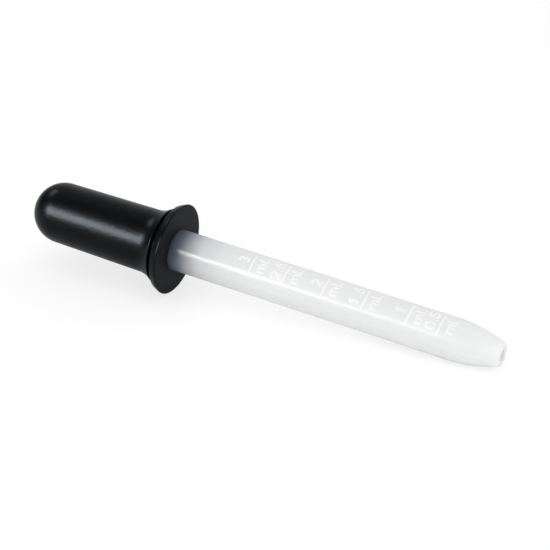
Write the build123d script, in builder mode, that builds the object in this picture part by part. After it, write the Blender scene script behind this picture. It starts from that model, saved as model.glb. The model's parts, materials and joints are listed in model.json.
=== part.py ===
from build123d import *
from math import asin, atan2, cos, degrees, hypot, radians, sin, sqrt, tan
import os

# A dropper pipette: a graduated plastic tube pushed into the mouth of a hollow rubber bulb.
# It lies on the rim of the bulb's flange and on the shoulder where the tube starts to taper.
# The tip points to +X and the row stands on Z = 0. All sizes are in millimetres.

# --- Tube ---------------------------------------------------------------------------
TUBE_RADIUS = 5.0
BORE_RADIUS = 4.1
TUBE_REACH = 84.0  # from the bulb's mouth to the open tip
INSERT_RADIUS = 4.8  # a little slimmer, so that the bulb's mouth stops at a shoulder
INSERT_LENGTH = 13.0  # hidden inside the bulb's neck
TIP_TAPER = 12.4  # length over which the outside closes in towards the tip
TIP_CURVE = 35.0  # radius of that long convex curve
TIP_ROUND = 0.7
ORIFICE_RADIUS = 1.5
ORIFICE_LENGTH = 2.5

# --- Bulb ---------------------------------------------------------------------------
BULB_LENGTH = 38.5  # crown of the dome to the front of the flange
DOME_RADIUS = 7.4
COLLAR_RADIUS = 7.75  # the body widens to this where it flares into the flange
FLANGE_RADIUS = 11.1
FLANGE_THICKNESS = 2.0
GROOVE_WIDTH = 1.3  # a groove runs round behind the flange
GROOVE_RADIUS = 8.0  # radius of its bottom
FLARE_LENGTH = 4.2  # the body swells over this length, like a trumpet, up to the groove's lip
LIP_RADIUS = 9.3
LIP_ROUND = 0.25
RIM_ROUND = 0.3
RIM_TAPER = 24.0  # the rim narrows towards its back at this angle, in degrees
RIM_BACK_ROUND = 0.4
RIM_FLAT = 2.4  # width of the small flat where the soft rim rests on the floor
MOUTH_ROUND = 0.4
BULB_WALL = 1.8
NECK_LENGTH = 14.0

# --- Scale moulded on the tube --------------------------------------------------------
SCALE_TURN = 61.5  # direction the scale faces, up from level on the -Y side, in degrees
SCALE_STATIONS = {"3": 21.0, "2.5": 29.7, "2": 39.8, "1.5": 50.0, "1": 61.2, "0.5": 69.1}
SCALE_UNIT = "mL"
LINE_LENGTH = 5.7
TEXT_OFFSET = 0.4  # the lettering sits this far round from the middle of its line
TEXT_GAP = 0.95  # between a line and the lettering on each side of it
CAP_HEIGHT = 2.6
SMALL_HEIGHT = 1.8
DIGIT_WIDTH = 1.8
M_WIDTH = 2.5
L_WIDTH = 1.4
LETTER_GAP = 0.4
STROKE = 0.42
POINT_RADIUS = 0.25
UPPER_BOWL = 0.46  # share of a 3's height that its upper bowl takes
FIVE_BOWL = 0.6  # share of a 5's height that its bowl takes
RELIEF = 0.08  # the marks stand this high on the tube

# --- How it lies ----------------------------------------------------------------------
# In the lengthwise section the floor meets two arcs: the front round of the flange's rim,
# which it flattens a little, and the long curve of the tip. A line that cuts the first to
# that depth and touches the second gives the slope of the axis.
flat_depth = FLANGE_RADIUS - sqrt(FLANGE_RADIUS**2 - (RIM_FLAT / 2) ** 2)
rim_stand = RIM_ROUND - flat_depth
rim_x, rim_r = -RIM_ROUND, FLANGE_RADIUS - RIM_ROUND
taper_x, taper_r = TUBE_REACH - TIP_TAPER, TUBE_RADIUS - TIP_CURVE
centre_gap = hypot(taper_x - rim_x, rim_r - taper_r)
slope = atan2(rim_r - taper_r, taper_x - rim_x) + asin((rim_stand - TIP_CURVE) / centre_gap)

# The round of the tip's end touches both the long curve and the flat end face.
end_x = TUBE_REACH - TIP_ROUND
end_r = taper_r + sqrt((TIP_CURVE - TIP_ROUND) ** 2 - (end_x - taper_x) ** 2)

mouth_height = rim_x * sin(slope) + rim_r * cos(slope) + rim_stand
back_reach = (BULB_LENGTH - DOME_RADIUS) * cos(slope) + DOME_RADIUS
front_reach = end_x * cos(slope) + end_r * sin(slope) + TIP_ROUND
mouth = Vector((back_reach - front_reach) / 2, 0, mouth_height)

along = Vector(cos(slope), 0, -sin(slope))
section = Plane(origin=mouth, x_dir=along, z_dir=(0, -1, 0))
tube_axis = Axis(mouth, along)

# --- Rubber bulb ----------------------------------------------------------------------
# The rim is widest on its front round, and its straight part runs inwards from there.
flange_back = -FLANGE_THICKNESS
taper = radians(RIM_TAPER)
front_corner_r = FLANGE_RADIUS + RIM_ROUND * ((1 + sin(taper)) / cos(taper) - 1)
back_corner_r = front_corner_r - FLANGE_THICKNESS * tan(taper)
lip_x = flange_back - GROOVE_WIDTH
flare_start = lip_x - FLARE_LENGTH
crown = -BULB_LENGTH
cavity_radius = DOME_RADIUS - BULB_WALL
cavity_crown = crown + BULB_WALL
cavity_end = cavity_crown + cavity_radius

with BuildPart() as rubber_bulb:
    with BuildSketch(section) as bulb_section:
        with BuildLine():
            Line((cavity_crown, 0), (crown, 0))
            CenterArc((crown + DOME_RADIUS, 0), DOME_RADIUS, 180, -90)
            body = Line((crown + DOME_RADIUS, DOME_RADIUS), (flare_start, COLLAR_RADIUS))
            flare = TangentArc(body @ 1, (lip_x, LIP_RADIUS), tangent=body % 1)
            Polyline(
                flare @ 1,
                (lip_x, GROOVE_RADIUS),
                (flange_back, GROOVE_RADIUS),
                (flange_back, back_corner_r),
                (0, front_corner_r),
                (0, INSERT_RADIUS),
                (-NECK_LENGTH, INSERT_RADIUS),
                (-NECK_LENGTH, cavity_radius),
                (cavity_end, cavity_radius),
            )
            CenterArc((cavity_end, 0), cavity_radius, 90, 90)
        make_face()
        for corner, rounding in (
            ((0, front_corner_r), RIM_ROUND),
            ((flange_back, back_corner_r), RIM_BACK_ROUND),
            ((lip_x, LIP_RADIUS), LIP_ROUND),
            ((lip_x, GROOVE_RADIUS), LIP_ROUND),
            ((flange_back, GROOVE_RADIUS), LIP_ROUND),
        ):
            fillet(bulb_section.vertices().sort_by_distance(corner)[0], rounding)
    revolve(axis=tube_axis)
    mouth_edge = (
        rubber_bulb.edges()
        .filter_by(GeomType.CIRCLE)
        .filter_by(lambda edge: abs(edge.radius - INSERT_RADIUS) < 0.01)
        .sort_by(tube_axis)[-1]
    )
    fillet(mouth_edge, MOUTH_ROUND)
    split(bisect_by=Plane.XY, keep=Keep.TOP)

rubber_bulb.part.label = "rubber_bulb"

# --- Scale marks ----------------------------------------------------------------------
# Strokes are drawn flat, facing the way the mould half opens, then trimmed to a thin shell
# round the tube, so their sides run straight out of the mould. An arc in a glyph is given
# by its centre, radius, first angle and the angle that it turns through.
cap, small = CAP_HEIGHT - STROKE, SMALL_HEIGHT - STROKE
digit, m_span, l_span = DIGIT_WIDTH - STROKE, M_WIDTH - STROKE, L_WIDTH - STROKE


def stroke(path):
    """A pen stroke of even width, with round ends, along the lines drawn in path."""
    SlotArc(path.wire(), STROKE)


def glyph_0():
    SlotOverall(CAP_HEIGHT, DIGIT_WIDTH, rotation=90)
    SlotOverall(CAP_HEIGHT - 2 * STROKE, DIGIT_WIDTH - 2 * STROKE, rotation=90, mode=Mode.SUBTRACT)


def glyph_1():
    with BuildLine(mode=Mode.PRIVATE) as path:
        Polyline((-digit / 3, cap / 4), (0, cap / 2), (0, -cap / 2))
    stroke(path)


def glyph_2():
    bowl = digit / 2
    with BuildLine(mode=Mode.PRIVATE) as path:
        top = CenterArc((0, cap / 2 - bowl), bowl, 165, -200)
        Polyline(top @ 1, (-digit / 2, -cap / 2), (digit / 2, -cap / 2))
    stroke(path)


def glyph_3():
    upper = cap * UPPER_BOWL / 2
    lower = cap / 2 - upper
    with BuildLine(mode=Mode.PRIVATE) as path:
        CenterArc((0, cap / 2 - upper), upper, 150, -240)
        CenterArc((0, lower - cap / 2), lower, 90, -240)
    stroke(path)


def glyph_5():
    bowl = cap * FIVE_BOWL / 2
    with BuildLine(mode=Mode.PRIVATE) as path:
        round_part = CenterArc((0, bowl - cap / 2), bowl, 135, -285)
        Polyline(round_part @ 0, (-digit / 2 + STROKE / 2, cap / 2), (digit / 2, cap / 2))
    stroke(path)


def glyph_point():
    with Locations((0, POINT_RADIUS - CAP_HEIGHT / 2)):
        Circle(POINT_RADIUS)


def glyph_m():
    arch, foot = m_span / 4, -cap / 2
    with BuildLine(mode=Mode.PRIVATE) as first:
        Line((-m_span / 2, foot), (-m_span / 2, foot + small))
    stroke(first)
    for shift in (-arch, arch):
        with BuildLine(mode=Mode.PRIVATE) as path:
            bow = CenterArc((shift, foot + small - arch), arch, 180, -180)
            Line(bow @ 1, (shift + arch, foot))
        stroke(path)


def glyph_L():
    with BuildLine(mode=Mode.PRIVATE) as path:
        Polyline((-l_span / 2, cap / 2), (-l_span / 2, -cap / 2), (l_span / 2, -cap / 2))
    stroke(path)


GLYPHS = {
    "0": (glyph_0, DIGIT_WIDTH),
    "1": (glyph_1, DIGIT_WIDTH),
    "2": (glyph_2, DIGIT_WIDTH),
    "3": (glyph_3, DIGIT_WIDTH),
    "5": (glyph_5, DIGIT_WIDTH),
    ".": (glyph_point, 2 * POINT_RADIUS),
    "m": (glyph_m, M_WIDTH),
    "L": (glyph_L, L_WIDTH),
}


def lettering(text, height):
    """Writes text with its middle at the given height above the line."""
    total = sum(GLYPHS[letter][1] for letter in text) + LETTER_GAP * (len(text) - 1)
    pen = TEXT_OFFSET - total / 2
    for letter in text:
        draw, width = GLYPHS[letter]
        with BuildSketch(mode=Mode.PRIVATE) as one:
            draw()
        add(one.sketch.moved(Location((pen + width / 2, height))))
        pen += width + LETTER_GAP


toward_scale = Vector(0, -1, 0) * cos(radians(SCALE_TURN)) + section.y_dir * sin(radians(SCALE_TURN))
text_level = TEXT_GAP + CAP_HEIGHT / 2

with BuildPart() as scale_marks:
    for amount, station in SCALE_STATIONS.items():
        facing = Plane(
            origin=mouth + along * station, x_dir=toward_scale.cross(along), z_dir=toward_scale
        )
        with BuildSketch(facing):
            SlotOverall(LINE_LENGTH, STROKE)
            lettering(amount, text_level)
            lettering(SCALE_UNIT, -text_level)
        extrude(amount=TUBE_RADIUS + 2 * RELIEF)
    with BuildSketch(section):
        with Locations((TUBE_REACH / 2, TUBE_RADIUS)):
            Rectangle(TUBE_REACH, 2 * RELIEF)
    revolve(axis=tube_axis, mode=Mode.INTERSECT)

# --- Graduated tube -------------------------------------------------------------------
# The bore follows the outside to the tip at an even wall, then narrows to the orifice.
wall = TUBE_RADIUS - BORE_RADIUS
bore_curve = TIP_CURVE - wall
orifice_x = TUBE_REACH - ORIFICE_LENGTH
bore_end_r = taper_r + sqrt(bore_curve**2 - (orifice_x - taper_x) ** 2)
tip_turn = degrees(atan2(end_r - taper_r, end_x - taper_x))
bore_turn = degrees(atan2(bore_end_r - taper_r, orifice_x - taper_x))

with BuildPart() as pipette_tube:
    with BuildSketch(section) as tube_section:
        with BuildLine():
            Polyline(
                (taper_x, BORE_RADIUS),
                (-INSERT_LENGTH, BORE_RADIUS),
                (-INSERT_LENGTH, INSERT_RADIUS),
                (0, INSERT_RADIUS),
                (0, TUBE_RADIUS),
                (taper_x, TUBE_RADIUS),
            )
            CenterArc((taper_x, taper_r), TIP_CURVE, 90, tip_turn - 90)
            CenterArc((end_x, end_r), TIP_ROUND, tip_turn, -tip_turn)
            Polyline(
                (TUBE_REACH, end_r),
                (TUBE_REACH, ORIFICE_RADIUS),
                (orifice_x, ORIFICE_RADIUS),
                (orifice_x, bore_end_r),
            )
            CenterArc((taper_x, taper_r), bore_curve, bore_turn, 90 - bore_turn)
        make_face()
    revolve(axis=tube_axis)
    add(scale_marks.part)

pipette_tube.part.label = "pipette_tube"

os.makedirs("parts", exist_ok=True)
export_step(rubber_bulb.part, "parts/rubber_bulb.step")
export_step(pipette_tube.part, "parts/pipette_tube.step")
print("slope of the axis:", round(degrees(slope), 3), "degrees; mouth at", mouth)
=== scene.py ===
import json
import math

import bpy
import numpy as np
from bpy.props import FloatProperty, FloatVectorProperty, IntProperty, PointerProperty
from mathutils import Matrix, Vector
from mathutils.bvhtree import BVHTree


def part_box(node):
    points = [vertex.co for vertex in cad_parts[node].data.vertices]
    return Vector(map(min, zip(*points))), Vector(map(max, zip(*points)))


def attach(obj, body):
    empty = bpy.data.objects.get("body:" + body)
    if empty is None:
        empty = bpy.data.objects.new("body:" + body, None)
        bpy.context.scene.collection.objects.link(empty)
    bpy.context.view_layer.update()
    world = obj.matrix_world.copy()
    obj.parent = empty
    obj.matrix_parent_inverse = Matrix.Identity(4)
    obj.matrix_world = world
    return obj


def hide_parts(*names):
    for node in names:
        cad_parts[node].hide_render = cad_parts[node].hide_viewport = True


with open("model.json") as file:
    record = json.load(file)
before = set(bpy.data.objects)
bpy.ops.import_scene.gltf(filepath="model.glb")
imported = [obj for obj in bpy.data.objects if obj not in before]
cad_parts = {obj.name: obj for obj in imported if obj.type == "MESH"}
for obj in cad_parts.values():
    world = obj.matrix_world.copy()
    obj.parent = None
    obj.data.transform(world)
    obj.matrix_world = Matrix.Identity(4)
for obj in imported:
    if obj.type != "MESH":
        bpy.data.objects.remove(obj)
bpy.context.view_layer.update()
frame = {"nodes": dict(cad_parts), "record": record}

# A dropper pipette lying on a pale table: a milky plastic tube with a moulded scale, pushed
# into the mouth of a hollow black rubber bulb. Both pieces are turned shapes. Each one is
# made along its own X axis, with the bulb's mouth at X = 0, and is then laid down where the
# frame says.

bl_info = {
    "name": "Dropper Pipette",
    "version": (1, 0, 0),
    "blender": (4, 5, 0),
    "location": "View3D > Sidebar > Pipette",
    "description": "Builds a dropper pipette with a rubber bulb and a graduated tube",
    "category": "Add Mesh",
}

MM = 0.001
BULB_NODE, TUBE_NODE = "rubber_bulb", "pipette_tube"

# --- Where the pipette lies -------------------------------------------------------------

barrel = next(mount for mount in frame["record"]["mounts"] if mount["name"] == "barrel")
barrel_length = barrel["dims"]["length_mm"] * MM
axis = Vector(barrel["axis"]).normalized()
mouth = Vector(barrel["pos_m"]) - axis * barrel_length / 2
slope = math.atan2(-axis.z, axis.x)
laid_down = Matrix.Translation(mouth) @ Matrix.Rotation(slope, 4, "Y")
to_axis = laid_down.inverted()


def turned_points(node):
    """A node's points as distances along the pipette's axis and from it, and angles round it."""
    mesh = frame["nodes"][node].data
    points = np.empty(len(mesh.vertices) * 3)
    mesh.vertices.foreach_get("co", points)
    turned = np.array(to_axis)
    local = points.reshape(-1, 3) @ turned[:3, :3].T + turned[:3, 3]
    return local[:, 0], np.hypot(local[:, 1], local[:, 2]), np.arctan2(local[:, 2], local[:, 1])


bulb_along, bulb_radii, _ = turned_points(BULB_NODE)
tube_along, tube_radii, tube_angles = turned_points(TUBE_NODE)


# --- Sizes and colours ------------------------------------------------------------------


def size(name, description, default, low=0.0):
    """A length in metres."""
    return FloatProperty(
        name=name,
        description=description,
        default=default,
        min=low,
        unit="LENGTH",
        subtype="DISTANCE",
    )


def degrees(name, description, default):
    """An angle, given here in degrees and kept in radians."""
    return FloatProperty(
        name=name,
        description=description,
        default=math.radians(default),
        unit="ROTATION",
        subtype="ANGLE",
    )


def watts(name, description, default):
    """The power of a light."""
    return FloatProperty(name=name, description=description, default=default, min=0.0, unit="POWER")


def share(name, description, default):
    """A share, from 0 for none to 1 for all."""
    return FloatProperty(
        name=name, description=description, default=default, min=0.0, max=1.0, subtype="FACTOR"
    )


def colour(name, description, default):
    """A colour as red, green and blue, each from 0 to 1."""
    return FloatVectorProperty(
        name=name, description=description, default=default, min=0.0, max=1.0, subtype="COLOR"
    )


class PipetteBulbSettings(bpy.types.PropertyGroup):
    """The squeeze bulb's sizes and its rubber."""

    length: size("Length", "Crown of the dome to the front of the flange", -bulb_along.min())
    dome_radius: size("Dome radius", "Radius of the round end and of the body next to it", 7.4 * MM)
    collar_radius: size("Collar radius", "Body radius where it starts to flare", 7.75 * MM)
    flange_radius: size("Flange radius", "Outside radius of the flange", bulb_radii.max())
    flange_thickness: size("Flange thickness", "Thickness of the flange's rim", 2.0 * MM)
    groove_width: size("Groove width", "Width of the groove behind the flange", 1.3 * MM)
    groove_radius: size("Groove radius", "Radius of the groove's bottom", 8.0 * MM)
    flare_length: size("Flare length", "Length of the swelling up to the groove", 4.2 * MM)
    lip_radius: size("Lip radius", "Radius of the body at the groove", 9.3 * MM)
    lip_round: size("Lip round", "Radius of the groove's corners", 0.25 * MM)
    rim_round: size("Rim round", "Radius of the rim's front corner", 0.3 * MM)
    rim_back_round: size("Rim back round", "Radius of the rim's back corner", 0.4 * MM)
    rim_taper: degrees("Rim taper", "Angle at which the rim narrows towards its back", 24)
    mouth_round: size("Mouth round", "Radius of the mouth's rounded edge", 0.4 * MM)
    wall: size("Wall", "Thickness of the rubber", 1.8 * MM)
    neck_radius: size("Neck radius", "Radius of the neck that grips the tube", 4.8 * MM)
    neck_length: size("Neck length", "Depth of that neck", 14.0 * MM)
    segments: IntProperty(name="Segments", description="Facets round the bulb", default=192, min=24)
    rubber: colour("Rubber", "Colour of the rubber", (0.0020, 0.0023, 0.0031))
    face: colour("Face", "Colour of the flange's front face", (0.0105, 0.0110, 0.0120))
    gloss: share("Gloss", "How strongly the rubber's surface reflects", 0.09)
    roughness: share("Roughness", "Roughness of the moulded body", 0.3)
    face_roughness: share("Face roughness", "Roughness of the duller front face", 0.6)


class PipetteTubeSettings(bpy.types.PropertyGroup):
    """The graduated tube's sizes and its plastic."""

    radius: size("Radius", "Outside radius of the barrel", barrel["dims"]["r_mm"] * MM)
    bore_radius: size("Bore radius", "Inside radius of the barrel", 4.1 * MM)
    reach: size("Reach", "Bulb's mouth to the open tip", tube_along.max())
    insert_radius: size("Insert radius", "Radius of the end inside the bulb's neck", 4.79 * MM)
    insert_length: size("Insert length", "Length of that end", 13.0 * MM)
    taper_length: size("Taper length", "Length over which the outside closes in", 12.4 * MM)
    taper_curve: size("Taper curve", "Radius of that long convex curve", 35.0 * MM)
    tip_round: size("Tip round", "Radius of the tip's outer edge", 0.7 * MM)
    orifice_radius: size("Orifice radius", "Radius of the hole in the tip", 1.5 * MM)
    orifice_length: size("Orifice length", "Length of that hole", 2.5 * MM)
    orifice_round: size("Orifice round", "Radius of the hole's outer edge", 0.2 * MM)
    relief: size("Relief", "Height of the scale's marks", 0.08 * MM)
    cell: size("Cell", "Size of the facets where the scale is moulded", 0.1 * MM, 0.02 * MM)
    coarse_cell: size("Coarse cell", "Size of the facets elsewhere", 0.45 * MM, 0.1 * MM)
    plastic: colour("Plastic", "Tint of the milky plastic", (0.865, 0.87, 0.872))
    mark: colour("Mark", "Tint of the plastic in the raised marks", (0.99, 0.99, 0.99))
    # The bore's whiter colour is a painted glow, standing in for light that comes through the wall.
    inside: colour("Inside", "Tint of the bore, lit through the wall", (0.99, 0.99, 0.985))
    clearness: share("Clearness", "Share of the light that passes through the plastic", 0.045)
    haze: share("Haze", "How much the plastic blurs what is behind it", 0.6)
    milkiness: share("Milkiness", "Share of the light that spreads inside the plastic", 0.4)
    glow_depth: size("Glow depth", "How far light spreads inside the plastic", 1.5 * MM)
    # The plastic's colour is darkened over this length as painted shade from the black neck.
    painted_shade_length: size("Dim length", "Length over which the black neck dims the plastic", 25.0 * MM)


class PipetteStageSettings(bpy.types.PropertyGroup):
    """The table, the lights and the camera."""

    floor_reach: size("Floor reach", "Distance from the pipette's middle to the table's edges", 3.0)
    floor: colour("Floor", "Colour of the table as it lights the pipette", (0.87, 0.87, 0.87))
    seen_floor: colour("Seen floor", "Colour of the table to the camera", (0.35, 0.35, 0.35))
    floor_light: share("Floor light", "Light of its own that makes the seen table white", 0.7)
    mirror_light: share("Mirror light", "Light of its own that the table has in reflections", 0.14)
    key: watts("Key light", "Power of the main soft box that shows in reflections", 12.0)
    fill: watts("Fill light", "Power of the large soft light overhead", 12.9)
    camera_turn: degrees("Camera turn", "Angle from the pipette's side towards its tip", 26.65)
    camera_rise: degrees("Camera rise", "Angle above level", 28.85)
    camera_distance: size("Camera distance", "Camera to the middle of the view", 0.5942)
    view_centre: FloatVectorProperty(
        name="View centre",
        description="Middle of the view",
        default=(-0.69 * MM, 7.82 * MM, 5.65 * MM),
        unit="LENGTH",
        subtype="TRANSLATION",
    )
    lens: FloatProperty(
        name="Lens", description="Focal length of the lens", default=163.4, unit="CAMERA"
    )


# --- Turned shapes ----------------------------------------------------------------------

# Edges that turn by more than this stay sharp.
SHARP_ANGLE = math.radians(50)


def arc(centre, radius, start, end, steps):
    """Points along an arc from one angle to another, in degrees, both ends included."""
    turns = np.radians(np.linspace(start, end, steps + 1))
    x, y = centre
    return [(x + radius * math.cos(turn), y + radius * math.sin(turn)) for turn in turns]


def bearing(centre, point):
    """The angle, in degrees, at which a point lies from a centre."""
    return math.degrees(math.atan2(point[1] - centre[1], point[0] - centre[0]))


def tangent_circle(start, heading, end):
    """Centre and radius of the arc that leaves start along a heading and bends outwards to end."""
    start, end, heading = Vector(start), Vector(end), Vector(heading).normalized()
    outward = Vector((-heading.y, heading.x))
    chord = end - start
    radius = chord.length_squared / (2 * outward.dot(chord))
    return start + outward * radius, radius


def turned_mesh(name, rings, angles, heights=None):
    """Turns a closed run of (along, radius) points into a mesh. Ends at radius 0 are poles,
    and a run with no pole closes on itself. heights raises single points off their ring."""
    columns = len(angles)
    points, starts = [], []
    for ring, (along, radius) in enumerate(rings):
        starts.append(len(points))
        if radius == 0:
            points.append((along, 0.0, 0.0))
            continue
        lift = heights.get(ring, 0.0) if heights else 0.0
        radii = np.full(columns, radius) + lift
        points.extend(zip(np.full(columns, along), radii * np.cos(angles), radii * np.sin(angles)))
    faces = []
    pairs = list(zip(range(len(rings)), range(1, len(rings))))
    if rings[0][1] > 0:
        pairs.append((len(rings) - 1, 0))
    for one, other in pairs:
        a, b = starts[one], starts[other]
        for column in range(columns):
            after = (column + 1) % columns
            if rings[one][1] == 0:
                faces.append((a, b + column, b + after))
            elif rings[other][1] == 0:
                faces.append((a + column, b, a + after))
            else:
                faces.append((a + column, b + column, b + after, a + after))
    mesh = bpy.data.meshes.new(name)
    mesh.from_pydata([tuple(map(float, point)) for point in points], [], faces)
    mesh.validate()
    return mesh


def add_object(data):
    """Puts a mesh, lamp or camera in the scene under its own name."""
    added = bpy.data.objects.new(data.name, data)
    bpy.context.scene.collection.objects.link(added)
    return added


def lay_down(mesh, node, material):
    """Puts a piece where the frame says, in its material, to stand for its CAD node. Points
    that would sink into the table are lifted on to it."""
    for vertex in mesh.vertices:
        world = laid_down @ vertex.co
        if world.z < 0:
            world.z = 0.0
            vertex.co = to_axis @ world
    mesh.shade_smooth()
    mesh.set_sharp_from_angle(angle=SHARP_ANGLE)
    mesh.materials.append(material)
    piece = add_object(mesh)
    piece.matrix_world = laid_down
    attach(piece, "root")
    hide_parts(node)


# --- Materials --------------------------------------------------------------------------

# How many times lighter than the rubber's own colour its palest blotches are.
PALEST_RUBBER = 1.6

# Painted shade on the plastic next to the black neck: shares of the shaded length, and the darkened
# colour there.
PAINTED_NECK_SHADE = (
    (0.0, (0.05, 0.06, 0.095)),
    (0.14, (0.225, 0.24, 0.275)),
    (0.28, (0.57, 0.58, 0.59)),
    (0.5, (0.76, 0.765, 0.77)),
    (0.75, (0.83, 0.835, 0.838)),
)

# The shares of a mark's height at which its whiter tint starts and is full.
MARK_FOOT, MARK_TOP = 0.05, 0.5


def feed(tree, socket, source):
    """Links a node's output to an input, or sets the input to a plain value. A node given
    whole stands for the first of its outputs."""
    if isinstance(source, bpy.types.Node):
        source = next(output for output in source.outputs if output.enabled)
    if isinstance(source, bpy.types.NodeSocket):
        tree.links.new(source, socket)
    else:
        socket.default_value = source


def label(socket):
    """A socket's name, written as a keyword."""
    return socket.name.lower().replace(" ", "_")


def add_node(tree, kind, place, *sources, **values):
    """Adds a node at a place in the tree. Sources feed its inputs in their order, and each
    value feeds the input that it names or sets the node's own setting of that name."""
    node = tree.nodes.new(kind)
    node.location = place
    labels = [label(socket) for socket in node.inputs]
    for name, value in values.items():
        if name not in labels:
            setattr(node, name, value)
    inputs = [socket for socket in node.inputs if socket.enabled]
    for socket, source in zip(inputs, sources):
        feed(tree, socket, source)
    for socket in inputs:
        if label(socket) in values:
            feed(tree, socket, values[label(socket)])
    return node


def opaque(tint):
    """A colour with its full alpha, as colour sockets and ramps take it."""
    return (*tint, 1.0)


def add_ramp(tree, place, source, stops, interpolation="LINEAR"):
    """Adds a colour ramp. Each of its stops is a position and a colour."""
    node = add_node(tree, "ShaderNodeValToRGB", place, source)
    ramp = node.color_ramp
    ramp.interpolation = interpolation
    while len(ramp.elements) < len(stops):
        ramp.elements.new(0.5)
    for element, (position, tint) in zip(ramp.elements, stops):
        element.position = position
        element.color = opaque(tint)
    return node


def empty_tree(owner):
    """Gives a material or a world an empty node tree."""
    owner.use_nodes = True
    owner.node_tree.nodes.clear()
    return owner.node_tree


def moulded_surface():
    """Node group: the faint unevenness of moulded rubber or plastic, as a tone and a height."""
    name = "Moulded Surface"
    if name in bpy.data.node_groups:
        return bpy.data.node_groups[name]
    group = bpy.data.node_groups.new(name, "ShaderNodeTree")
    sockets = group.interface
    sockets.new_socket("Position", in_out="INPUT", socket_type="NodeSocketVector")
    for title, default in (("Blotch Scale", 90.0), ("Grain Scale", 2500.0), ("Grain Share", 0.4)):
        socket = sockets.new_socket(title, in_out="INPUT", socket_type="NodeSocketFloat")
        socket.default_value = default
    for title in ("Tone", "Height"):
        sockets.new_socket(title, in_out="OUTPUT", socket_type="NodeSocketFloat")
    given = add_node(group, "NodeGroupInput", (-600, 0)).outputs
    blotch = add_node(
        group,
        "ShaderNodeTexNoise",
        (-350, 150),
        vector=given["Position"],
        scale=given["Blotch Scale"],
        detail=3.0,
        roughness=0.55,
    )
    grain = add_node(
        group,
        "ShaderNodeTexNoise",
        (-350, -150),
        vector=given["Position"],
        scale=given["Grain Scale"],
        detail=2.0,
        roughness=0.6,
    )
    grain_share = given["Grain Share"]
    height = add_node(
        group, "ShaderNodeMix", (-50, -50), grain_share, blotch, grain, data_type="FLOAT"
    )
    add_node(group, "NodeGroupOutput", (200, 0), blotch, height)
    return group


def add_surface(tree, blotch_scale, grain_scale, grain_share):
    """Adds the object's own coordinates and the moulded surface group that they feed."""
    place = add_node(tree, "ShaderNodeTexCoord", (-1100, 0))
    moulded = add_node(
        tree,
        "ShaderNodeGroup",
        (-850, 0),
        place.outputs["Object"],
        blotch_scale,
        grain_scale,
        grain_share,
        node_tree=moulded_surface(),
    )
    return place.outputs, moulded.outputs


def uneven(tree, place, tone, middle, swing):
    """A value that swings either side of its middle as the tone goes from 0 to 1."""
    low, high = middle - swing, middle + swing
    return add_node(tree, "ShaderNodeMapRange", place, tone, to_min=low, to_max=high)


def rubber_material(settings):
    """Black rubber with a soft satin shine, duller on the flange's front face."""
    material = bpy.data.materials.new("black_rubber")
    tree = empty_tree(material)
    place, moulded = add_surface(tree, blotch_scale=120.0, grain_scale=1500.0, grain_share=0.7)
    tone = moulded["Tone"]
    along = add_node(tree, "ShaderNodeSeparateXYZ", (-900, 400), place["Object"])
    on_face = add_node(
        tree,
        "ShaderNodeMapRange",
        (-700, 400),
        along,
        from_min=-settings.rim_round / 2,
        from_max=0.0,
    )
    dark = opaque(settings.rubber)
    pale = opaque([PALEST_RUBBER * part for part in settings.rubber])
    blotched = add_node(tree, "ShaderNodeMix", (-500, 200), tone, dark, pale, data_type="RGBA")
    face = opaque(settings.face)
    hue = add_node(tree, "ShaderNodeMix", (-300, 200), on_face, blotched, face, data_type="RGBA")
    satin = uneven(tree, (-550, 0), tone, settings.roughness, swing=0.04)
    dull = settings.face_roughness
    sheen = add_node(tree, "ShaderNodeMix", (-300, 0), on_face, satin, dull, data_type="FLOAT")
    bump = add_node(
        tree,
        "ShaderNodeBump",
        (-300, -250),
        height=moulded["Height"],
        strength=0.5,
        distance=0.1 * MM,
    )
    shader = add_node(
        tree,
        "ShaderNodeBsdfPrincipled",
        (0, 0),
        base_color=hue,
        roughness=sheen,
        normal=bump,
        ior=1.5,
        specular_ior_level=settings.gloss,
        specular_tint=opaque((0.85, 0.93, 1.0)),
    )
    add_node(tree, "ShaderNodeOutputMaterial", (300, 0), shader)
    return material


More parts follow.
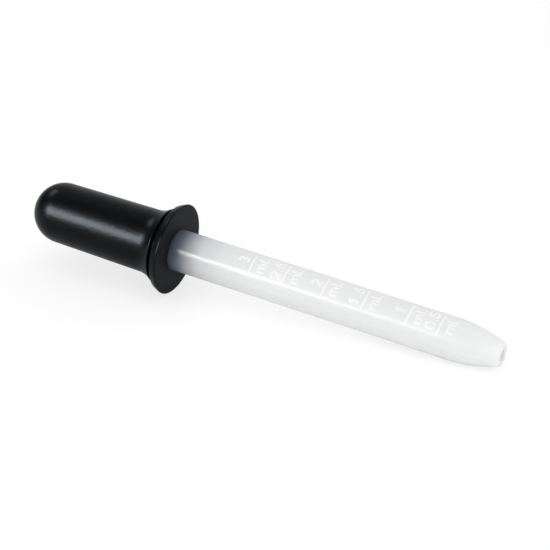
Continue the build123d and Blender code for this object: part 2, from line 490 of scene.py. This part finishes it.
def plastic_material(settings):
    """Milky plastic that lets a little light through. Its colour carries painted shade next to the
    black neck, and a painted glow inside the bore as if lit through the wall. It is whiter where
    the marks stand up."""
    material = bpy.data.materials.new("milky_plastic")
    tree = empty_tree(material)
    place, moulded = add_surface(tree, blotch_scale=160.0, grain_scale=1800.0, grain_share=0.35)
    along = add_node(tree, "ShaderNodeSeparateXYZ", (-850, 300), place["Object"])
    # Painted shade: the plastic's colour darkens towards the black neck, in place of the shade that
    # the neck and flange cast in it.
    from_neck = add_node(
        tree, "ShaderNodeMapRange", (-650, 300), along, from_max=settings.painted_shade_length
    )
    stops = [*PAINTED_NECK_SHADE, (1.0, settings.plastic)]
    with_painted_neck_shade = add_ramp(tree, (-450, 300), from_neck, stops, "CARDINAL")
    across = add_node(
        tree,
        "ShaderNodeVectorMath",
        (-850, -300),
        place["Object"],
        (0.0, 1.0, 1.0),
        operation="MULTIPLY",
    )
    # Across the axis, the bore's surface faces inwards, against its own place.
    inwards = add_node(
        tree,
        "ShaderNodeVectorMath",
        (-650, -500),
        across,
        place["Normal"],
        operation="DOT_PRODUCT",
    )
    # Painted glow: where the surface faces inwards, the bore takes the whiter inside colour, as if
    # lit through the wall.
    painted_glow_mask = add_node(
        tree, "ShaderNodeMapRange", (-450, -500), inwards, from_max=-settings.orifice_radius / 2
    )
    # The painted glow's colour for the bore's lining.
    inside = opaque(settings.inside)
    with_painted_glow = add_node(tree, "ShaderNodeMix", (-300, 400), painted_glow_mask, with_painted_neck_shade, inside, data_type="RGBA")
    radius = add_node(tree, "ShaderNodeVectorMath", (-650, -300), across, operation="LENGTH")
    raised = add_node(
        tree,
        "ShaderNodeMapRange",
        (-450, -300),
        radius,
        from_min=settings.radius + MARK_FOOT * settings.relief,
        from_max=settings.radius + MARK_TOP * settings.relief,
    )
    mark = opaque(settings.mark)
    tint = add_node(tree, "ShaderNodeMix", (-150, 200), raised, with_painted_glow, mark, data_type="RGBA")
    bump = add_node(
        tree,
        "ShaderNodeBump",
        (-200, -250),
        height=moulded["Height"],
        strength=0.08,
        distance=0.05 * MM,
    )
    shader = add_node(
        tree,
        "ShaderNodeBsdfPrincipled",
        (0, 0),
        base_color=tint,
        roughness=uneven(tree, (-550, 0), moulded["Tone"], settings.haze, swing=0.03),
        normal=bump,
        ior=1.5,
        transmission_weight=settings.clearness,
        specular_ior_level=0.05,
        coat_weight=0.17,
        coat_roughness=0.18,
        subsurface_weight=settings.milkiness,
        subsurface_radius=(1.0, 1.0, 1.0),
        subsurface_scale=settings.glow_depth,
    )
    add_node(tree, "ShaderNodeOutputMaterial", (300, 0), shader)
    return material


def floor_material(settings):
    """A pale table top. Much of the white that the camera sees is the table's own light, so
    its shadow is faint. Reflections have less of that light, and none falls on the pipette."""
    material = bpy.data.materials.new("pale_table")
    tree = empty_tree(material)
    rays = add_node(tree, "ShaderNodeLightPath", (-800, 0)).outputs
    by_camera = rays["Is Camera Ray"]
    shade = add_node(
        tree,
        "ShaderNodeMix",
        (-200, 200),
        by_camera,
        opaque(settings.floor),
        opaque(settings.seen_floor),
        data_type="RGBA",
    )
    mirrored = add_node(
        tree,
        "ShaderNodeMath",
        (-600, -200),
        rays["Is Glossy Ray"],
        rays["Is Transmission Ray"],
        operation="MAXIMUM",
    )
    glow = add_node(
        tree, "ShaderNodeMath", (-400, -200), mirrored, settings.mirror_light, operation="MULTIPLY"
    )
    own_light = add_node(
        tree,
        "ShaderNodeMath",
        (-200, -200),
        by_camera,
        settings.floor_light,
        glow,
        operation="MULTIPLY_ADD",
    )
    shader = add_node(
        tree,
        "ShaderNodeBsdfPrincipled",
        (0, 0),
        base_color=shade,
        roughness=1.0,
        specular_ior_level=0.0,
        emission_color=opaque((1.0, 1.0, 1.0)),
        emission_strength=own_light,
    )
    add_node(tree, "ShaderNodeOutputMaterial", (300, 0), shader)
    return material


# --- Rubber bulb ------------------------------------------------------------------------


def bulb_outline(settings):
    """The bulb's section from the crown outside, round the flange, to the crown inside."""
    s = settings
    crown = -s.length
    body_start = (crown + s.dome_radius, s.dome_radius)
    flange_back = -s.flange_thickness
    lip = flange_back - s.groove_width
    flare_start = (lip - s.flare_length, s.collar_radius)
    along_body = (flare_start[0] - body_start[0], flare_start[1] - body_start[1])
    bend, bend_radius = tangent_circle(flare_start, along_body, (lip, s.lip_radius))
    inner = s.dome_radius - s.wall
    inner_crown = crown + s.wall
    groove, edge = s.groove_radius + s.lip_round, s.lip_round
    lip_reach = math.sqrt((bend_radius + edge) ** 2 - (lip - edge - bend.x) ** 2)
    lip_centre = (lip - edge, bend.y - lip_reach)
    flare_end = bearing(bend, lip_centre)
    back, front = s.rim_back_round, s.rim_round
    front_centre = (-front, s.flange_radius - front)
    gap = flange_back + back - front_centre[0]
    back_drop = (back - front - gap * math.sin(s.rim_taper)) / math.cos(s.rim_taper)
    back_centre = (flange_back + back, front_centre[1] - back_drop)
    rim_turn = 90 + math.degrees(s.rim_taper)
    outline = arc((crown + s.dome_radius, 0.0), s.dome_radius, 180, 90, steps=40)
    outline += arc(bend, bend_radius, bearing(bend, flare_start), flare_end, steps=36)
    outline += arc(lip_centre, edge, flare_end + 180, 0, steps=8)
    outline += arc((lip + edge, groove), edge, 180, 270, steps=6)
    outline += arc((flange_back - edge, groove), edge, 270, 360, steps=6)
    outline += arc(back_centre, back, 180, rim_turn, steps=8)
    outline += arc(front_centre, front, rim_turn, 0, steps=10)
    outline += arc((-s.mouth_round, s.neck_radius + s.mouth_round), s.mouth_round, 0, -90, steps=8)
    outline += [(-s.neck_length, s.neck_radius), (-s.neck_length, inner)]
    outline += arc((inner_crown + inner, 0.0), inner, 90, 180, steps=24)
    # Both crowns end exactly on the axis.
    outline[0] = (outline[0][0], 0.0)
    outline[-1] = (outline[-1][0], 0.0)
    return outline


class PIPETTE_OT_add_bulb(bpy.types.Operator):
    """Adds the hollow rubber bulb with its flange"""

    bl_idname = "pipette.add_bulb"
    bl_label = "Add Rubber Bulb"

    def execute(self, context):
        settings = context.scene.pipette_bulb
        angles = np.linspace(0.0, 2 * math.pi, settings.segments, endpoint=False)
        mesh = turned_mesh("squeeze_bulb", bulb_outline(settings), angles)
        lay_down(mesh, BULB_NODE, rubber_material(settings))
        return {"FINISHED"}


# --- Graduated tube ---------------------------------------------------------------------

# How many fine cells the patch that holds the scale reaches past its marks.
MARGIN_CELLS = 3


def steps_between(low, high, step):
    """Evenly spaced values from low up to, but not including, high, about one step apart."""
    return np.linspace(low, high, max(1, math.ceil((high - low) / step)), endpoint=False)


def scale_limits(settings):
    """Where the raised marks lie: their ends along the tube and the angles round it."""
    raised = tube_radii > settings.radius + settings.relief / 2
    along, angles = tube_along[raised], tube_angles[raised]
    if not len(along):
        raise RuntimeError("the tube in the frame carries no raised marks")
    margin = MARGIN_CELLS * settings.cell
    turn = margin / settings.radius
    return along.min() - margin, along.max() + margin, angles.min() - turn, angles.max() + turn


def outside_radius(settings, along):
    """The tube's plain outside radius at a distance along it: even, then closing in."""
    past = max(0.0, along - (settings.reach - settings.taper_length))
    return settings.radius - settings.taper_curve + math.sqrt(settings.taper_curve**2 - past**2)


def mark_heights(settings, along, angles):
    """How far the marks stand up at each crossing of the rings and columns, softly rounded.
    Each height is the mean of four, found by looking inwards from just outside the tube."""
    source = frame["nodes"][TUBE_NODE].data
    points = [to_axis @ vertex.co for vertex in source.vertices]
    surface = BVHTree.FromPolygons(points, [tuple(face.vertices) for face in source.polygons])
    start_radius = settings.radius + 1 * MM
    quarter = settings.cell / 4
    corners = ((-1, -1), (-1, 1), (1, -1), (1, 1))
    heights = np.zeros((len(along), len(angles)))
    for ring, station in enumerate(along):
        plain = outside_radius(settings, station)
        for column, angle in enumerate(angles):
            for shift, turn in corners:
                place = angle + turn * quarter / settings.radius
                out = Vector((0.0, math.cos(place), math.sin(place)))
                start = out * start_radius + Vector((station + shift * quarter, 0.0, 0.0))
                hit = surface.ray_cast(start, -out)[0]
                rise = math.hypot(hit.y, hit.z) - plain
                heights[ring, column] += np.clip(rise, 0.0, settings.relief) / len(corners)
    # Half of each height is its own, and a quarter comes from each neighbour, both ways.
    for across in (0, 1):
        before, after = np.roll(heights, 1, across), np.roll(heights, -1, across)
        heights = (before + 2 * heights + after) / 4
    return heights


def tube_outline(settings, stations):
    """The tube's section from the shoulder, along the outside to the tip, and back inside."""
    s = settings
    taper_start = s.reach - s.taper_length
    centre = (taper_start, s.radius - s.taper_curve)
    end_along = s.reach - s.tip_round
    end_rise = math.sqrt((s.taper_curve - s.tip_round) ** 2 - (end_along - centre[0]) ** 2)
    end_turn = math.degrees(math.atan2(end_rise, end_along - centre[0]))
    bore_curve = s.taper_curve - (s.radius - s.bore_radius)
    orifice_start = s.reach - s.orifice_length
    bore_rise = math.sqrt(bore_curve**2 - (orifice_start - centre[0]) ** 2)
    bore_turn = math.degrees(math.atan2(bore_rise, orifice_start - centre[0]))
    outline = [(station, outside_radius(s, station)) for station in stations]
    outline += arc((end_along, centre[1] + end_rise), s.tip_round, end_turn, 0, steps=8)
    hole_centre = (s.reach - s.orifice_round, s.orifice_radius + s.orifice_round)
    outline += arc(hole_centre, s.orifice_round, 0, -90, steps=4)
    outline += [(orifice_start, s.orifice_radius)]
    outline += arc(centre, bore_curve, bore_turn, 90, steps=24)
    outline += [(-s.insert_length, s.bore_radius), (-s.insert_length, s.insert_radius)]
    outline += [(0.0, s.insert_radius)]
    return outline


class PIPETTE_OT_add_tube(bpy.types.Operator):
    """Adds the tapered plastic tube with its moulded scale"""

    bl_idname = "pipette.add_tube"
    bl_label = "Add Graduated Tube"

    def execute(self, context):
        s = context.scene.pipette_tube
        low, high, first, last = scale_limits(s)
        fine_angles = steps_between(first, last, s.cell / s.radius)
        coarse_angles = steps_between(last, first + 2 * math.pi, s.coarse_cell / s.radius)
        before = steps_between(0.0, low, s.coarse_cell)
        marked = steps_between(low, high, s.cell)
        beyond = steps_between(high, s.reach - s.tip_round, s.coarse_cell)
        stations = [*before, *marked, *beyond]
        heights = mark_heights(s, marked, fine_angles)
        flat = np.zeros(len(coarse_angles))
        lifts = {len(before) + row: np.append(line, flat) for row, line in enumerate(heights)}
        angles = np.append(fine_angles, coarse_angles)
        mesh = turned_mesh("graduated_tube", tube_outline(s, stations), angles, lifts)
        lay_down(mesh, TUBE_NODE, plastic_material(s))
        return {"FINISHED"}


# --- Stage ------------------------------------------------------------------------------

# Each soft box: its angle round the pipette and its angle above level in degrees, its
# distance, width and height in metres, and its share of the key or the fill light.
KEY_BOXES = {
    "key_soft_box": (-35, 23, 0.70, 0.345, 0.28, 1.0),
    "stripe_soft_box": (-15, 26, 0.70, 0.17, 0.17, 0.145),
    "side_glow": (-108, 44, 0.70, 0.24, 0.19, 0.073),
}
FILL_BOXES = {
    "overhead_fill": (-20, 65, 1.30, 1.8, 1.8, 1.0),
    "front_fill": (10, 6, 1.0, 1.2, 0.5, 0.24),
    "tip_fill": (55, 15, 1.0, 0.8, 0.6, 0.25),
}

# The middle of the backdrop, as an angle round the pipette and an angle above level.
BACKDROP = math.radians(160), math.radians(12)

# The room's tone by how nearly a direction points at the backdrop's middle: 0 is square to it
# or away from it, and 1 is straight at it.
ROOM_TONES = ((0.0, 0.08), (0.25, 0.20), (0.75, 1.0), (1.0, 1.0))


def direction(turn, rise):
    """A unit vector at an angle round the pipette from -Y towards +X, and an angle above level."""
    level = math.cos(rise)
    return Vector((math.sin(turn) * level, -math.cos(turn) * level, math.sin(rise)))


def add_facing(data, target, away, distance):
    """Puts a lamp or camera at a distance from its target, and points it there."""
    added = add_object(data)
    added.location = target + away * distance
    added.rotation_mode = "QUATERNION"
    added.rotation_quaternion = (-away).to_track_quat("-Z", "Y")
    return added


def add_soft_boxes(boxes, power, reflected):
    """Soft boxes aimed at the neck, where the tube enters the bulb. Each one either shows in
    reflections or lights the surfaces."""
    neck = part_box(TUBE_NODE)[0].lerp(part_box(BULB_NODE)[1], 0.5)
    for name, (turn, rise, distance, width, height, part) in boxes.items():
        data = bpy.data.lights.new(name, "AREA")
        data.shape = "RECTANGLE"
        data.size = width
        data.size_y = height
        data.energy = part * power
        away = direction(math.radians(turn), math.radians(rise))
        lamp = add_facing(data, neck, away, distance)
        lamp.visible_glossy = reflected
        lamp.visible_transmission = reflected
        lamp.visible_diffuse = not reflected


def add_surroundings():
    """A studio with a white backdrop behind the pipette, and a grey room on the other sides."""
    world = bpy.data.worlds.new("soft_studio")
    bpy.context.scene.world = world
    tree = empty_tree(world)
    place = add_node(tree, "ShaderNodeTexCoord", (-900, 0))
    towards = add_node(
        tree,
        "ShaderNodeVectorMath",
        (-700, 0),
        place.outputs["Generated"],
        direction(*BACKDROP),
        operation="DOT_PRODUCT",
    )
    stops = [(nearness, (tone, tone, tone)) for nearness, tone in ROOM_TONES]
    ramp = add_ramp(tree, (-500, 0), towards, stops)
    shader = add_node(tree, "ShaderNodeBackground", (-150, 0), ramp)
    add_node(tree, "ShaderNodeOutputWorld", (100, 0), shader)


def add_table(settings):
    """A square table top, with the pipette on its middle."""
    mesh = bpy.data.meshes.new("table_top")
    reach = settings.floor_reach
    corners = [(x * reach, y * reach, 0.0) for x, y in ((-1, -1), (1, -1), (1, 1), (-1, 1))]
    mesh.from_pydata(corners, [], [(0, 1, 2, 3)])
    mesh.materials.append(floor_material(settings))
    floor = add_object(mesh)


def add_camera(settings):
    """The camera, with a long lens, above the pipette's side."""
    data = bpy.data.cameras.new("camera")
    data.lens = settings.lens
    away = direction(settings.camera_turn, settings.camera_rise)
    camera = add_facing(data, settings.view_centre, away, settings.camera_distance)
    bpy.context.scene.camera = camera


class PIPETTE_OT_add_stage(bpy.types.Operator):
    """Adds the table, the soft lights and the camera"""

    bl_idname = "pipette.add_stage"
    bl_label = "Add Stage"

    def execute(self, context):
        settings = context.scene.pipette_stage
        add_table(settings)
        add_soft_boxes(KEY_BOXES, settings.key, reflected=True)
        add_soft_boxes(FILL_BOXES, settings.fill, reflected=False)
        add_surroundings()
        add_camera(settings)
        context.scene.view_settings.view_transform = "Standard"
        return {"FINISHED"}


class PIPETTE_PT_panel(bpy.types.Panel):
    """Lists the pieces and their settings"""

    bl_idname = "PIPETTE_PT_panel"
    bl_label = "Dropper Pipette"
    bl_space_type = "VIEW_3D"
    bl_region_type = "UI"
    bl_category = "Pipette"

    def draw(self, context):
        for operator, group in STEPS:
            box = self.layout.box()
            box.operator(operator.bl_idname)
            settings = getattr(context.scene, group)
            for name in settings.bl_rna.properties.keys():
                if name not in ("rna_type", "name"):
                    box.prop(settings, name)


SETTINGS = {
    "pipette_bulb": PipetteBulbSettings,
    "pipette_tube": PipetteTubeSettings,
    "pipette_stage": PipetteStageSettings,
}
STEPS = (
    (PIPETTE_OT_add_bulb, "pipette_bulb"),
    (PIPETTE_OT_add_tube, "pipette_tube"),
    (PIPETTE_OT_add_stage, "pipette_stage"),
)


def register():
    for name, group in SETTINGS.items():
        bpy.utils.register_class(group)
        setattr(bpy.types.Scene, name, PointerProperty(type=group))
    for operator, _ in STEPS:
        bpy.utils.register_class(operator)
    bpy.utils.register_class(PIPETTE_PT_panel)


def unregister():
    bpy.utils.unregister_class(PIPETTE_PT_panel)
    for operator, _ in reversed(STEPS):
        bpy.utils.unregister_class(operator)
    for name, group in SETTINGS.items():
        delattr(bpy.types.Scene, name)
        bpy.utils.unregister_class(group)


def main():
    register()
    bpy.ops.pipette.add_bulb()
    bpy.ops.pipette.add_tube()
    bpy.ops.pipette.add_stage()


if __name__ == "__main__":
    main()
